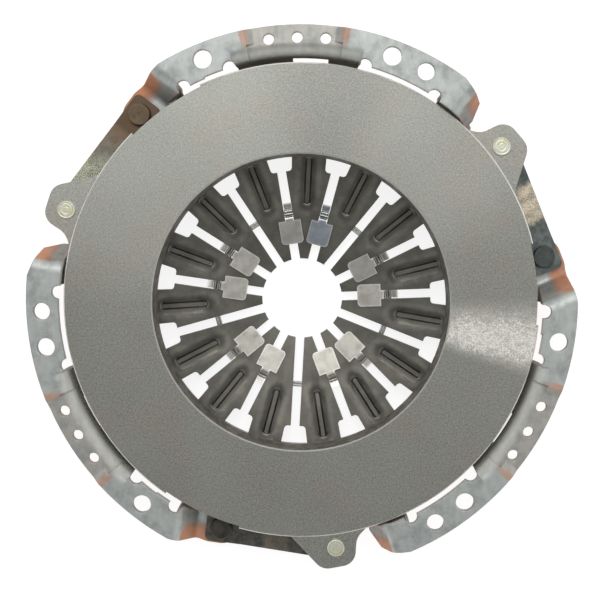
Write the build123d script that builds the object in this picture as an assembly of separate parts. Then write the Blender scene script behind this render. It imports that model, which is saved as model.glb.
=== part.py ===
from build123d import *
import os
from math import asin, atan, cos, degrees, radians, sin

# Clutch cover assembly for a 228 mm disc: a pressed steel cover that bolts to the flywheel,
# a cast pressure plate hung in it on three packs of strap leaves, and a diaphragm spring that
# pivots between two wire rings.
# Origin on the clutch axis, in the plane where the cover meets the flywheel; +Z points to the flywheel.
# Millimetres and degrees. Angles run anticlockwise seen from the flywheel.

os.makedirs("parts", exist_ok=True)

# ---------------------------------------------------------------- driving dimensions
THIRDS = 3                      # the cover, the lugs and the straps repeat three times

# pressure plate
PLATE_RADIUS = 117.0
PLATE_FACE_Z = -4.0             # friction face, with the clutch off the flywheel
PLATE_THICKNESS = 12.0
BORE_RADIUS = 73.2              # at the friction face
BORE_TAPER = 1.4                # the cast bore closes in by this much towards the back
RIM_THICKNESS = 5.5             # the rim is thin where the straps pass behind it
RIM_WIDTH = 6.5
PLATE_CHAMFER = 0.6
PLATE_TRAVEL = 3.0              # towards the cover, until the spring is nearly flat

# lugs on the plate, one to each strap pack
LUG_ANGLE = 38.2
LUG_STEP = 0.6                  # the lug face lies below the friction face
LUG_THICKNESS = 5.9
LUG_REACH = 17.0                # beyond the plate's rim
LUG_TOP_WIDTH = 16.6
LUG_RIVET_OUT = 6.6             # rivet centre, beyond the rim

# diaphragm spring
FINGERS = 15
SPRING_THICKNESS = 2.4
SPRING_RIM_INSET = 5.5          # spring rim, inside the thick body of the plate
LEVER = 19.9                    # from the spring rim in to the fulcrum
FINGER_TIP_RADIUS = 20.6
FINGER_TIP_DROP = 10.6          # tips behind the fulcrum, along the axis
SLOT_WIDTH = 4.5
SLOT_ANGLE = 3.0                # first slot; a finger lies half a pitch further on
WINDOW_LENGTH = 20.2
WINDOW_INNER_WIDTH = 10.5
WINDOW_OUTER_WIDTH = 14.0
BEAD_LENGTH = 25.4
BEAD_FLAT = 1.8
BEAD_FLANK = 1.0
BEAD_DEPTH = 1.1                # below the floor of the valley
VALLEY_DEPTH = 0.4              # shallow valley that the bead lies in
VALLEY_FLANK = 2.6
VALLEY_PAST_BEAD = 0.9          # valley past each end of the bead

# fulcrum: two wire rings held by shouldered rivets through the spring windows
FULCRUM_WIRE = 3.0
SPACER_SHANK = 6.0
SPACER_HEAD = 11.0
SPACER_HEAD_THICKNESS = 1.8
SPACER_TENON = 5.0
SPACER_RIVETED_HEAD = 9.0
RIVETED_THICKNESS = 1.7
SPACER_EDGE = 5.0               # rivet centre to the opening of the cover

# wire rings and clips that tie the fingers together
TIE_WIRE = 1.4
TIE_RING_RADIUS = 43.9          # the inner ring; the outer one lies against it
CLIP_SLOTS = (0, 1, 3, 4, 6, 7, 9, 10, 12, 13)   # counted anticlockwise from SLOT_ANGLE
CLIP_SHEET = 1.2
CLIP_HEAD_WIDTH = 11.4
CLIP_HEAD_LENGTH = 12.0
CLIP_SHOULDER = 2.6             # from the head to the bend of the neck
CLIP_CORNER = 2.0
CLIP_NECK_PLAY = 0.25           # in the slot, on each side
CLIP_TAIL = 2.4                 # past the outer ring

# pressed steel cover
SHEET = 3.6
RIB_DEPTH = 6.0                 # outer rib, behind the back of the fulcrum seat
WALL_CLEARANCE = 3.6            # plate rim to the inside of the wall, at the top
WALL_LEAN = 0.045               # the wall closes in by this much for each mm of depth
FLANGE_WIDTH = 13.9             # from the inside of the wall out
FLANGE_SPAN = (54.0, 120.5)     # full-radius arc of each flange
PAD_RECESS = 1.8                # the middle of each flange lies back from the bolt areas
PAD_SPAN = (80.8, 101.8)
JOGGLE_RUN = 4.0                # length of the slope between the two levels
ROLL = 6.6                      # outside radius where the sheet turns down from the flange
FOOT_ROLL = 3.5
LOW_END_ANGLE = 50.6            # fold line at the end of the flange beside the lug
LOW_END_RUN = 12.0              # how far that end wall leans out over its height
WALL_LEFT = 12.0                # height left whole under the windows and strap gaps

# holes in each flange, outwards from the inside of the wall
BOLT_OUT = 6.4
BOLT_HOLE = 9.0
BOLT_ANGLES = (69.72, 111.72)
DOWEL_HOLE = 8.4
DOWEL_ANGLE = 61.70
BALANCE_OUT = 7.8
BALANCE_HOLE = 5.3
BALANCE_ANGLES = (84.57, 90.70, 96.86)

# windows under the bolt areas: flat outer edge with a round relief at each end
WINDOW_EDGE_INSET = 1.7         # flat edge, inside the line of the wall
WINDOW_RELIEF = 3.3
WINDOW_SPANS = ((56.2, 76.0), (105.6, 119.4))
VENT_SPAN = (83.6, 92.0)        # vent slot in the wall behind the recessed pad
VENT_HEIGHT = 13.0

# straps: a pack of spring leaves from each lug to a ledge on the cover
LEAVES = 3
LEAF_THICKNESS = 0.7
STRAP_WIDTH = 15.0
STRAP_END = 8.0                 # from the rivet to the end of the leaf
LEDGE_RIVET_ANGLE = 10.7
LEDGE_RIVET_OUT = 5.2           # rivet centre, beyond the plate's rim
STRAP_DROP = 4.0                # from the lug end to the ledge end, along the axis
LEDGE_EDGE = 1.3                # width of ledge showing beside the strap
LEDGE_TO_FOOT = 4.4             # from the strap's end to the foot of the end wall
END_WALL_RUN = 8.5
STRAP_RIVET_SHANK = 6.0
STRAP_RIVET_HEAD = 11.0
STRAP_RIVET_HEAD_THICKNESS = 2.4
LUG_RIVET_SHANK = 5.6
LUG_RIVET_HEAD = 8.6
LUG_RIVET_HEAD_THICKNESS = 1.4

# clearances
SEAT_GAP = 0.3                  # between curved faces that bear on each other
WIRE_GAP = 0.1
CLIP_GAP = 0.25                 # flat clip head over the cone of the fingers
RIVET_FIT = 0.05                # on the radius, shank in hole
HEAD_GAP = 0.02                 # under a rivet head
RUNNING_GAP = 1.2               # cover to the moving plate
RELEASE_GAP = 0.76              # spacer heads to the back of the plate at full travel

# ---------------------------------------------------------------- places worked out from them
PACK_THICKNESS = LEAVES * LEAF_THICKNESS
PITCH = 360.0 / FINGERS
# radii
BODY_RADIUS = PLATE_RADIUS - RIM_WIDTH
LUG_RIVET_RADIUS = PLATE_RADIUS + LUG_RIVET_OUT
LEDGE_RIVET_RADIUS = PLATE_RADIUS + LEDGE_RIVET_OUT
WALL_RADIUS = PLATE_RADIUS + WALL_CLEARANCE
FLANGE_RADIUS = WALL_RADIUS + FLANGE_WIDTH
LEDGE_TAB_RADIUS = STRAP_WIDTH / 2 + LEDGE_EDGE
SPRING_RIM_RADIUS = BODY_RADIUS - SPRING_RIM_INSET
FULCRUM_RADIUS = SPRING_RIM_RADIUS - LEVER
SPACER_RADIUS = FULCRUM_RADIUS - FULCRUM_WIRE / 2 - WIRE_GAP - SPACER_SHANK / 2
COVER_OPENING_RADIUS = SPACER_RADIUS - SPACER_EDGE
WINDOW_END_RADIUS = FULCRUM_RADIUS + 0.6
WINDOW_START_RADIUS = WINDOW_END_RADIUS - WINDOW_LENGTH
OUTER_TIE_RADIUS = TIE_RING_RADIUS + TIE_WIRE + WIRE_GAP
BEAD_START_RADIUS = OUTER_TIE_RADIUS + TIE_WIRE / 2 + 1.5
# heights, from the friction face back to the cover
PLATE_BACK_Z = PLATE_FACE_Z - PLATE_THICKNESS
RIM_BACK_Z = PLATE_FACE_Z - RIM_THICKNESS
LUG_BACK_Z = PLATE_FACE_Z - LUG_STEP - LUG_THICKNESS
LEDGE_Z = LUG_BACK_Z - PACK_THICKNESS - STRAP_DROP
CONE = FINGER_TIP_DROP / (FULCRUM_RADIUS - FINGER_TIP_RADIUS)              # rise per mm of radius
CONE_ANGLE = degrees(atan(CONE))
HALF_SPRING = SPRING_THICKNESS / 2 / cos(radians(CONE_ANGLE))              # measured along Z
FULCRUM_LIFT = HALF_SPRING + (WIRE_GAP + FULCRUM_WIRE / 2) / cos(radians(CONE_ANGLE))
SPACER_HEAD_Z = PLATE_BACK_Z - PLATE_TRAVEL - RELEASE_GAP - SPACER_HEAD_THICKNESS
FULCRUM_Z = SPACER_HEAD_Z - WIRE_GAP - FULCRUM_WIRE / 2 - FULCRUM_LIFT     # middle of the spring sheet
SEAT_Z = FULCRUM_Z - FULCRUM_LIFT - FULCRUM_WIRE / 2 - WIRE_GAP            # cover under the rear ring
COVER_BACK_Z = SEAT_Z - SHEET - RIB_DEPTH
OPEN_TO_Z = COVER_BACK_Z + WALL_LEFT
VENT_TOP_Z = OPEN_TO_Z + VENT_HEIGHT


# ---------------------------------------------------------------- helpers
def polar(radius, angle):
    return (radius * cos(radians(angle)), radius * sin(radians(angle)))


def turned(shape, angle):
    return Rot(0, 0, angle) * shape


def thirds(shape):
    return [turned(shape, k * 360 / THIRDS) for k in range(THIRDS)]


def ring_of(section):
    """Solid of revolution from a face drawn with X as the radius and Y as the height."""
    return revolve(Plane.XZ * section, Axis.Z)


def section(*points):
    return make_face(Polyline(*points, close=True))


def block(x_range, y_range, z_range):
    sizes = [high - low for low, high in (x_range, y_range, z_range)]
    return Pos(x_range[0], y_range[0], z_range[0]) * Box(*sizes, align=(Align.MIN,) * 3)


def sector(inner, outer, start, end, low, high):
    """Part of a flat ring, between two radii, two angles and two heights."""
    span = end - start
    outline = [CenterArc((0, 0), outer, start, span),
               Line(polar(outer, end), polar(inner, end)),
               CenterArc((0, 0), inner, end, -span),
               Line(polar(inner, start), polar(outer, start))]
    return Pos(0, 0, low) * extrude(make_face(outline), high - low)


def peg(radius, low, high):
    return Pos(0, 0, low) * Cylinder(radius, high - low, align=(Align.CENTER, Align.CENTER, Align.MIN))


def wire_ring(radius, height, wire):
    return Pos(0, 0, height) * Torus(radius, wire / 2)


def rivet_head(diameter, low, high):
    """Flat round head with a bevelled top edge."""
    head = peg(diameter / 2, low, high)
    return chamfer(head.edges().sort_by(Axis.Z)[-1], 0.45)


def formed_head(diameter, low, high):
    head = peg(diameter / 2, low, high)
    return chamfer(head.edges().sort_by(Axis.Z)[0], 0.6)


def save(shape, name):
    export_step(shape, f"parts/{name}.step")


def spring_z(radius, side=0.0):
    """Height of the spring at a radius; side is +1 on the flywheel face, -1 on the back."""
    return FULCRUM_Z + (radius - FULCRUM_RADIUS) * CONE + side * HALF_SPRING


# ---------------------------------------------------------------- pressure plate
def lug_outline():
    """Lug seen from the flywheel, about the +Y axis: steep on one side, long and sloped on the other."""
    root, tip = BODY_RADIUS - 1, PLATE_RADIUS + LUG_REACH
    half_top = LUG_TOP_WIDTH / 2
    face = section((-half_top - 16, root), (-half_top - 2.7, PLATE_RADIUS + 3), (-half_top, tip - 0.8),
                   (half_top, tip), (half_top + 17, root))
    face = fillet(face.vertices().filter_by_position(Axis.Y, tip - 3, tip + 1), 7.5)
    return fillet(face.vertices().filter_by_position(Axis.Y, PLATE_RADIUS + 2, PLATE_RADIUS + 4), 9.0)


def make_lug():
    lug = extrude(lug_outline(), LUG_THICKNESS)
    lug -= Pos(0, LUG_RIVET_RADIUS, 0) * peg(LUG_RIVET_SHANK / 2 + RIVET_FIT, -1, LUG_THICKNESS + 1)
    return turned(Pos(0, 0, LUG_BACK_Z) * lug, LUG_ANGLE - 90)


def make_ridge():
    """Lands on the back of the plate that press on the rim of the spring."""
    rim, root = SPRING_RIM_RADIUS, PLATE_BACK_Z + 1
    bearing_z = spring_z(rim, +1) + SEAT_GAP
    ridge = ring_of(section((rim - 5, root), (rim + 1, root), (rim + 1, bearing_z), (rim - 2.5, bearing_z)))
    gap = block((rim - 8, rim + 8), (-3, 3), (PLATE_BACK_Z - 10, PLATE_BACK_Z))
    return ridge - [turned(gap, k * PITCH) for k in range(FINGERS)]


def make_plate():
    profile = section((BORE_RADIUS, PLATE_FACE_Z), (PLATE_RADIUS, PLATE_FACE_Z), (PLATE_RADIUS, RIM_BACK_Z),
                      (BODY_RADIUS, RIM_BACK_Z), (BODY_RADIUS, PLATE_BACK_Z),
                      (BORE_RADIUS - BORE_TAPER, PLATE_BACK_Z))
    plate = ring_of(chamfer(profile.vertices().sort_by(Axis.Y)[-2:], PLATE_CHAMFER))
    circles = plate.edges().filter_by(GeomType.CIRCLE)
    plate = fillet(circles.filter_by_position(Axis.Z, PLATE_BACK_Z, PLATE_BACK_Z), 1.5)
    # the rim steps back beside each ledge rivet, which it passes as the plate moves
    beside_head = LEDGE_RIVET_RADIUS - STRAP_RIVET_HEAD / 2 - 1.0
    relief = sector(beside_head, PLATE_RADIUS + 1, LEDGE_RIVET_ANGLE - 16, LEDGE_RIVET_ANGLE + 4,
                    RIM_BACK_Z - 1, PLATE_FACE_Z + 1)
    return plate - thirds(relief) + thirds(make_lug()) + make_ridge()


# ---------------------------------------------------------------- diaphragm spring
def cone_section(inner, outer):
    return section((inner, spring_z(inner, -1)), (outer, spring_z(outer, -1)),
                   (outer, spring_z(outer, +1)), (inner, spring_z(inner, +1)))


def window_outline():
    """Keyhole between two fingers, along +X: square shoulders inside, wider round the spacer rivet."""
    start, end = WINDOW_START_RADIUS, WINDOW_END_RADIUS
    half_in, half_out = WINDOW_INNER_WIDTH / 2, WINDOW_OUTER_WIDTH / 2
    face = section((start, -half_in), (start + 10, -half_out), (end, -half_out),
                   (end, half_out), (start + 10, half_out), (start, half_in))
    face = fillet(face.vertices().sort_by(Axis.X)[:2], 1.8)
    return fillet(face.vertices().sort_by(Axis.X)[-2:], 3.5)


def tapered_bar(length, width, depth, flank):
    """Bar with round ends and sloping sides, sunk to depth. Length and width are at the top, z 0."""
    slope = flank / depth
    overlap = 0.1               # the spring's face is a cone and the bar is straight
    foot = SlotOverall(length + 2 * overlap * slope, width + 2 * overlap * slope)
    return Pos(0, 0, overlap) * extrude(foot, -depth - overlap, taper=degrees(atan(slope)))


def bead_bar(side):
    """Stiffening bead along a finger, in its shallow valley, sunk from the spring face given by side."""
    width = BEAD_FLAT + 2 * BEAD_FLANK
    valley = tapered_bar(BEAD_LENGTH + 2 * VALLEY_PAST_BEAD, width + 2 * VALLEY_FLANK, VALLEY_DEPTH,
                         VALLEY_FLANK)
    bead = Pos(0, 0, -VALLEY_DEPTH) * tapered_bar(BEAD_LENGTH, width, BEAD_DEPTH, BEAD_FLANK)
    middle = BEAD_START_RADIUS + BEAD_LENGTH / 2
    return Pos(middle, 0, spring_z(middle, side)) * Rot(0, -CONE_ANGLE, 0) * (valley + bead)


def make_spring():
    low, height = spring_z(FINGER_TIP_RADIUS) - 10, 60
    slot = block((0, WINDOW_START_RADIUS + 1), (-SLOT_WIDTH / 2, SLOT_WIDTH / 2), (low, low + height))
    window = Pos(0, 0, low) * extrude(window_outline(), height)
    rib, groove = bead_bar(-1), bead_bar(+1)
    slots, ribs, grooves = [], [], []
    for k in range(FINGERS):
        at_slot = SLOT_ANGLE + k * PITCH
        slots += [turned(slot, at_slot), turned(window, at_slot)]
        ribs.append(turned(rib, at_slot + PITCH / 2))
        grooves.append(turned(groove, at_slot + PITCH / 2))
    return ring_of(cone_section(FINGER_TIP_RADIUS, SPRING_RIM_RADIUS)) - slots + ribs - grooves


# ---------------------------------------------------------------- spacer rivets
def make_spacer():
    """Shouldered rivet: head over the front ring, shoulder on the cover, tenon riveted over behind it."""
    cover_back = SEAT_Z - SHEET
    spacer = rivet_head(SPACER_HEAD, SPACER_HEAD_Z, SPACER_HEAD_Z + SPACER_HEAD_THICKNESS)
    spacer += peg(SPACER_SHANK / 2, SEAT_Z, SPACER_HEAD_Z)
    spacer += peg(SPACER_TENON / 2, cover_back, SEAT_Z)
    spacer += formed_head(SPACER_RIVETED_HEAD, cover_back - RIVETED_THICKNESS, cover_back)
    return Pos(SPACER_RADIUS, 0, 0) * spacer


# ---------------------------------------------------------------- tie rings and clips
TIE_WIRE_Z = spring_z(TIE_RING_RADIUS, -1) - (WIRE_GAP + TIE_WIRE / 2) / cos(radians(CONE_ANGLE))


def make_clip():
    """Bent flat clip: wide head on two fingers, neck down the slot, tail hooked behind the wires."""
    neck = TIE_RING_RADIUS - TIE_WIRE / 2 - WIRE_GAP
    shoulder = neck - CLIP_SHOULDER
    start = shoulder - CLIP_HEAD_LENGTH
    head_lift = CLIP_GAP + CLIP_SHEET
    tail_top = TIE_WIRE_Z - TIE_WIRE / 2 - WIRE_GAP
    hook = OUTER_TIE_RADIUS + TIE_WIRE / 2 + 0.6
    # outer face of the strip, from the inner edge of the head to the tip of the tail
    path = FilletPolyline((start, spring_z(start, +1) + head_lift), (neck, spring_z(neck, +1) + head_lift),
                          (neck, tail_top), (hook, tail_top), (hook + CLIP_TAIL, tail_top + 1.2),
                          radius=[1.7, 0.3, 0.8])
    strip = extrude(Plane.XZ * make_face(offset(path, CLIP_SHEET, side=Side.RIGHT, closed=True)),
                    CLIP_HEAD_WIDTH / 2, both=True)
    half_head, half_neck, end = CLIP_HEAD_WIDTH / 2, SLOT_WIDTH / 2 - CLIP_NECK_PLAY, hook + CLIP_TAIL + 2
    blank = section((start, -half_head), (shoulder, -half_head), (shoulder, -half_neck), (end, -half_neck),
                    (end, half_neck), (shoulder, half_neck), (shoulder, half_head), (start, half_head))
    blank = fillet(blank.vertices().sort_by(Axis.X)[:2], CLIP_CORNER)
    return strip & (Pos(0, 0, tail_top - 10) * extrude(blank, 40))


# ---------------------------------------------------------------- straps and their rivets
LUG_END = Vector(*polar(LUG_RIVET_RADIUS, LUG_ANGLE))
LEDGE_END = Vector(*polar(LEDGE_RIVET_RADIUS, LEDGE_RIVET_ANGLE))
STRAP_SPAN = (LUG_END - LEDGE_END).length


def make_leaf(layer):
    """One leaf, flat at both rivets with an easy slope between; layer 0 lies against the lug."""
    flat = STRAP_END + 3.0
    at_ledge = LEDGE_Z + PACK_THICKNESS - layer * LEAF_THICKNESS
    at_lug = LUG_BACK_Z - layer * LEAF_THICKNESS
    start, end = -STRAP_END, STRAP_SPAN + STRAP_END
    line = FilletPolyline((start, at_ledge), (flat, at_ledge), (STRAP_SPAN - flat, at_lug), (end, at_lug),
                          radius=20)
    outline = [line, Line((start, at_ledge), (start, at_ledge - LEAF_THICKNESS)),
               Pos(0, -LEAF_THICKNESS, 0) * line, Line((end, at_lug), (end, at_lug - LEAF_THICKNESS))]
    leaf = extrude(Plane.XZ * make_face(outline), STRAP_WIDTH / 2, both=True)
    leaf = fillet(leaf.edges().filter_by(Axis.Z), 3.0)
    leaf -= peg(STRAP_RIVET_SHANK / 2 + RIVET_FIT, LEDGE_Z - 5, LEDGE_Z + 10)
    leaf -= Pos(STRAP_SPAN, 0, 0) * peg(LUG_RIVET_SHANK / 2 + RIVET_FIT, LUG_BACK_Z - 8, LUG_BACK_Z + 5)
    return Plane(origin=LEDGE_END, x_dir=LUG_END - LEDGE_END, z_dir=(0, 0, 1)) * leaf


def make_rivet(shank, head, head_z, head_thickness, grip, back_head):
    """Rivet on the Z axis: head facing the flywheel, shank through the grip, formed head behind."""
    back_z = head_z - grip
    return (rivet_head(head, head_z, head_z + head_thickness) + peg(shank / 2, back_z, head_z)
            + formed_head(back_head, back_z - RIVETED_THICKNESS, back_z))


def make_strap_rivet():
    grip = PACK_THICKNESS + SHEET + 2 * HEAD_GAP
    rivet = make_rivet(STRAP_RIVET_SHANK, STRAP_RIVET_HEAD, LEDGE_Z + PACK_THICKNESS + HEAD_GAP,
                       STRAP_RIVET_HEAD_THICKNESS, grip, STRAP_RIVET_SHANK + 3.6)
    return Pos(LEDGE_END) * rivet


def make_lug_rivet():
    grip = LUG_THICKNESS + PACK_THICKNESS + 2 * HEAD_GAP
    rivet = make_rivet(LUG_RIVET_SHANK, LUG_RIVET_HEAD, LUG_BACK_Z + LUG_THICKNESS + HEAD_GAP,
                       LUG_RIVET_HEAD_THICKNESS, grip, LUG_RIVET_SHANK + 3.4)
    return Pos(LUG_END) * rivet


# ---------------------------------------------------------------- cover
# strap coordinates: +Y out through the middle of the strap beside lug 1, +X clockwise
STRAP_MIDDLE_ANGLE = (LUG_ANGLE + LEDGE_RIVET_ANGLE) / 2
LEDGE_X = LEDGE_RIVET_RADIUS * sin(radians(STRAP_MIDDLE_ANGLE - LEDGE_RIVET_ANGLE))
LEDGE_Y = LEDGE_RIVET_RADIUS * cos(radians(STRAP_MIDDLE_ANGLE - LEDGE_RIVET_ANGLE))
GAP_EDGE_X = LEDGE_X - LEDGE_TAB_RADIUS
FOOT_X = LEDGE_X + STRAP_END + LEDGE_TO_FOOT
END_TOP_X = FOOT_X + END_WALL_RUN
# radii that keep the cover clear of the plate
BESIDE_PLATE = PLATE_RADIUS + RUNNING_GAP
BEHIND_RIM = BODY_RADIUS + RUNNING_GAP + 1.5
FAR_RADIUS = FLANGE_RADIUS + 15
WALL_WIDTH = SHEET + 2
POCKET_START = 3.2
POCKET_SPAN = (POCKET_START, STRAP_MIDDLE_ANGLE - degrees(asin(GAP_EDGE_X / (WALL_RADIUS + SHEET))) + 1)


def bent(points, radii):
    """Section of the sheet: points run along the face towards the flywheel, the metal lies behind it."""
    return make_face(offset(FilletPolyline(*points, radius=radii), SHEET, side=Side.LEFT, closed=True))


def above(points, radii, height=5):
    """Section of the empty space in front of a bent sheet."""
    (start_x, _), (end_x, _) = points[0], points[-1]
    return make_face([FilletPolyline(*points, radius=radii),
                      Polyline(points[-1], (end_x, height), (start_x, height), points[0])])


def strap_frame(shape):
    return turned(shape, STRAP_MIDDLE_ANGLE - 90)


def along_y(face, reach, depth):
    """Extrude a section drawn in X and Z, from the radius reach back towards the axis by depth."""
    return Pos(0, reach, 0) * extrude(Plane.XZ * face, depth)


def cup(flange_z):
    """The round pressing: flange, wall, outer rib that the cover stands on, and the fulcrum seat."""
    wall = [(WALL_RADIUS + WALL_LEAN * height, height) for height in (flange_z, LEDGE_Z - 2.4)]
    rib_z = COVER_BACK_Z + SHEET
    face = [(FLANGE_RADIUS + 5, flange_z), *wall, (BODY_RADIUS, rib_z), (BODY_RADIUS - 12.5, rib_z),
            (BODY_RADIUS - 18.0, SEAT_Z), (COVER_OPENING_RADIUS, SEAT_Z)]
    return ring_of(bent(face, [6.0, 6.0, 5.0, 4.0, 4.0]))


def joggles():
    """Slopes from the bolt areas down to the middle of the flange, which die out at the roll."""
    lap = 2
    face = section((lap, 0), (0, 0), (-JOGGLE_RUN, -PAD_RECESS), (-JOGGLE_RUN - lap, -PAD_RECESS),
                   (-JOGGLE_RUN - lap, -PAD_RECESS - SHEET), (-JOGGLE_RUN, -PAD_RECESS - SHEET), (0, -SHEET),
                   (lap, -SHEET))
    slope = along_y(face, FLANGE_RADIUS + 4, FLANGE_WIDTH + 4 - ROLL)
    pad_start, pad_end = PAD_SPAN
    return [turned(slope, pad_start - 90), turned(mirror(slope, Plane.YZ), pad_end - 90)]


def end_by_ledge():
    """End wall of the flange next to its strap ledge, with the ledge, and the space in front of both."""
    face = [(END_TOP_X + 12, 0), (END_TOP_X, 0), (FOOT_X, LEDGE_Z), (0.0, LEDGE_Z)]
    radii = [ROLL, FOOT_ROLL]
    return [strap_frame(along_y(shape, FAR_RADIUS, 60)) for shape in (bent(face, radii), above(face, radii))]


def end_by_lug():
    """End wall at the other end of the flange, beside the lug, and the space in front of it."""
    # drawn with X anticlockwise, then mirrored, so that the metal lies behind the face
    face = [(14, 0), (0, 0), (-LOW_END_RUN, OPEN_TO_Z)]
    void_face = above(face, [ROLL]) + section((-LOW_END_RUN, OPEN_TO_Z), (-80, OPEN_TO_Z), (-80, 5),
                                              (-LOW_END_RUN, 5))
    return [turned(mirror(along_y(shape, FAR_RADIUS + 10, 80), Plane.YZ), LOW_END_ANGLE - 90)
            for shape in (bent(face, [ROLL]), void_face)]


def ledge_tab():
    """Round tab under the strap's rivet, with its neck back to the wall."""
    tab = Pos(LEDGE_X, LEDGE_Y, LEDGE_Z) * peg(LEDGE_TAB_RADIUS, -SHEET, 0)
    tab += block((GAP_EDGE_X, LEDGE_X + 1), (LEDGE_Y - 12, LEDGE_Y), (LEDGE_Z - SHEET, LEDGE_Z))
    return strap_frame(tab) & sector(BEHIND_RIM, FAR_RADIUS, -10, 40, LEDGE_Z - SHEET - 1, 0)


def pocket():
    """Inner wall under the ledge, set in so that the back of the strap has room."""
    face = [(WALL_RADIUS + 4.4, LEDGE_Z), (BEHIND_RIM + 0.6, LEDGE_Z), (BEHIND_RIM - 1.0, OPEN_TO_Z - 2),
            (BODY_RADIUS - 1.0, COVER_BACK_Z + SHEET)]
    return ring_of(bent(face, [1.0, 4.0])) & sector(BODY_RADIUS - 10, WALL_RADIUS + 0.4, *POCKET_SPAN,
                                                    COVER_BACK_Z + 1, 0)


def blank_outline():
    """Plan of one flange with its two ends and its ledge."""
    low_corner, high_corner = FLANGE_SPAN
    ends = Polyline(polar(FLANGE_RADIUS, high_corner), polar(FLANGE_RADIUS - 3.9, high_corner + 3.5), (0, 0),
                    polar(FLANGE_RADIUS - 4.1, low_corner - 7.5), polar(FLANGE_RADIUS, low_corner))
    flange = make_face([CenterArc((0, 0), FLANGE_RADIUS, low_corner, high_corner - low_corner), ends])
    corner_angle = radians(STRAP_MIDDLE_ANGLE + 360 / THIRDS - high_corner)
    corner_x, corner_y = FLANGE_RADIUS * sin(corner_angle), FLANGE_RADIUS * cos(corner_angle)
    tab_top = LEDGE_Y + LEDGE_TAB_RADIUS
    ledge = section((0, 0), (corner_x + 6, corner_y - 12), (corner_x, corner_y),
                    (FOOT_X + 1.5, tab_top - 2.2), (LEDGE_X + 7, tab_top - 0.3), (LEDGE_X, tab_top),
                    (GAP_EDGE_X - 5, tab_top))
    return flange, turned(ledge, STRAP_MIDDLE_ANGLE - 90)


def window_shelf(start, end):
    """Flat edge of the flange over a window, where nothing turns down into the wall."""
    return sector(WALL_RADIUS - WINDOW_EDGE_INSET, WALL_RADIUS + ROLL + 1, start, end, -SHEET, 0)


def flange_window(start, end):
    """Tall window in the wall below its shelf, with a round relief at each corner."""
    cutters = [sector(BODY_RADIUS - 15, FLANGE_RADIUS - 3, start, end, OPEN_TO_Z, -SHEET)]
    for angle in (start + 1.1, end - 1.1):
        relief = Pos(*polar(WALL_RADIUS - WINDOW_EDGE_INSET, angle), 0)
        cutters.append(relief * peg(WINDOW_RELIEF, OPEN_TO_Z, 5))
    return cutters


def cover_holes():
    """Radius, angle and diameter of the holes that repeat in each third."""
    holes = [(WALL_RADIUS + BOLT_OUT, angle, BOLT_HOLE) for angle in BOLT_ANGLES]
    holes += [(WALL_RADIUS + BOLT_OUT, DOWEL_ANGLE, DOWEL_HOLE)]
    holes += [(WALL_RADIUS + BALANCE_OUT, angle, BALANCE_HOLE) for angle in BALANCE_ANGLES]
    return holes + [(LEDGE_RIVET_RADIUS, LEDGE_RIVET_ANGLE, STRAP_RIVET_SHANK + 2 * RIVET_FIT)]


def make_cover():
    cover = cup(0)
    middle = sector(BODY_RADIUS, FAR_RADIUS + 10, *PAD_SPAN, -PAD_RECESS - SHEET - ROLL, 5)
    cover -= thirds(middle)
    for piece in (cup(-PAD_RECESS) & middle, *joggles(), *[window_shelf(*span) for span in WINDOW_SPANS]):
        cover += thirds(piece)

    # gaps for the lugs and straps, and the pocket behind each strap's end
    ledge_wall, ledge_void = end_by_ledge()
    low_wall, low_void = end_by_lug()
    out_past_flange = (BODY_RADIUS / 2, FAR_RADIUS + 10)
    low_void &= strap_frame(block((GAP_EDGE_X - 150, GAP_EDGE_X), out_past_flange, (OPEN_TO_Z, 12)))
    pocket_void = sector(BODY_RADIUS - 2.5, FAR_RADIUS, *POCKET_SPAN, OPEN_TO_Z - 5, 5)
    for void in (ledge_void, low_void, pocket_void, ledge_wall):
        cover -= thirds(void)

    # end walls, trimmed clear of the plate, with the ledges
    beside_plate = sector(BESIDE_PLATE, FAR_RADIUS, -20, 60, LEDGE_Z + 0.6, 1)
    behind_plate = sector(BEHIND_RIM, FAR_RADIUS, -20, 60, LEDGE_Z - SHEET - 0.5, LEDGE_Z + 1.1)
    past_tab = strap_frame(block((LEDGE_X, LEDGE_X + 80), out_past_flange, (-60, 20)))
    ledge_wall &= past_tab & (beside_plate + behind_plate)
    slanted_edge = section((BESIDE_PLATE - 0.2, -5), (FLANGE_RADIUS, -5), (FLANGE_RADIUS, -10),
                           (BESIDE_PLATE - 0.2, OPEN_TO_Z + 3))
    above_edge = turned(Pos(-20, 0, 0) * extrude(Plane.YZ * slanted_edge, 60), LOW_END_ANGLE - 90)
    low_wall &= above_edge + sector(BESIDE_PLATE, FAR_RADIUS, 30, 70, -6, 1)
    low_wall &= sector(BESIDE_PLATE, FAR_RADIUS, 30, 60, OPEN_TO_Z - 2, 1)
    for piece in (ledge_wall, low_wall, ledge_tab(), pocket()):
        cover += thirds(piece)

    # trimmed edge of the blank
    kept = peg(WALL_RADIUS + 0.4, COVER_BACK_Z - 10, 10)
    for face in blank_outline():
        kept += thirds(Pos(0, 0, COVER_BACK_Z - 10) * extrude(face, 60))
    cover &= kept

    # windows, vents and holes
    cutters = [cutter for span in WINDOW_SPANS for cutter in flange_window(*span)]
    cutters.append(sector(BODY_RADIUS - 5, WALL_RADIUS + WALL_WIDTH + 5, *VENT_SPAN, OPEN_TO_Z, VENT_TOP_Z))
    cutters += [Pos(*polar(radius, angle), 0) * peg(diameter / 2, LEDGE_Z - 8, 5)
                for radius, angle, diameter in cover_holes()]
    for cutter in cutters:
        cover -= thirds(cutter)
    tenon_hole = Pos(SPACER_RADIUS, 0, 0) * peg(SPACER_TENON / 2 + RIVET_FIT, SEAT_Z - SHEET - 1, SEAT_Z + 1)
    return cover - [turned(tenon_hole, SLOT_ANGLE + k * PITCH) for k in range(FINGERS)]


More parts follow.
